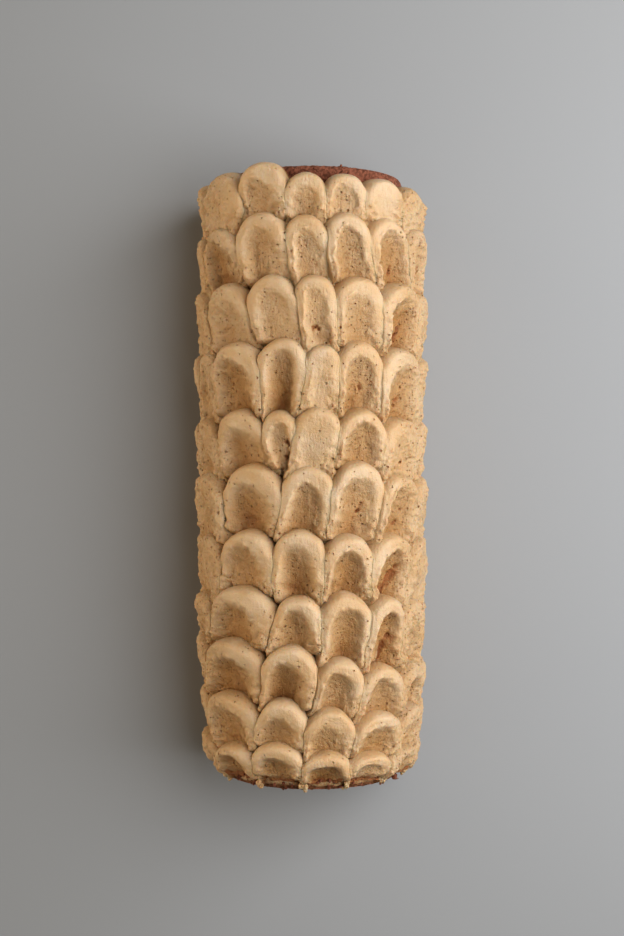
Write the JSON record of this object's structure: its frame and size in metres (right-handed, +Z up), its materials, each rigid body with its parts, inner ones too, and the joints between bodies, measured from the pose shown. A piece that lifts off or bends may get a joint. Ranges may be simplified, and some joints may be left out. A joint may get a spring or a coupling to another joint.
{
  "type": "yule log cake",
  "caption": "Rolled chocolate sponge log covered with overlapping rows of coffee buttercream dollops, dragged with a spoon like scales of bark.",
  "frame": {"origin": "under the middle of the log, on the surface it lies on", "axes": "+Y along the log, towards the end that the dollops' round heads point to; +X across it; +Z up"},
  "size_m": [0.117, 0.2963, 0.0929],
  "materials": {
    "sponge": "dry, open crumb of chocolate sponge",
    "filling": "soft coffee cream, slightly moist",
    "buttercream": "whipped coffee buttercream, satin, with small air holes"
  },
  "bodies": {
    "root": {"sponge_roll": "sponge", "filling": "filling", "buttercream": "buttercream"}
  },
  "joints": []
}
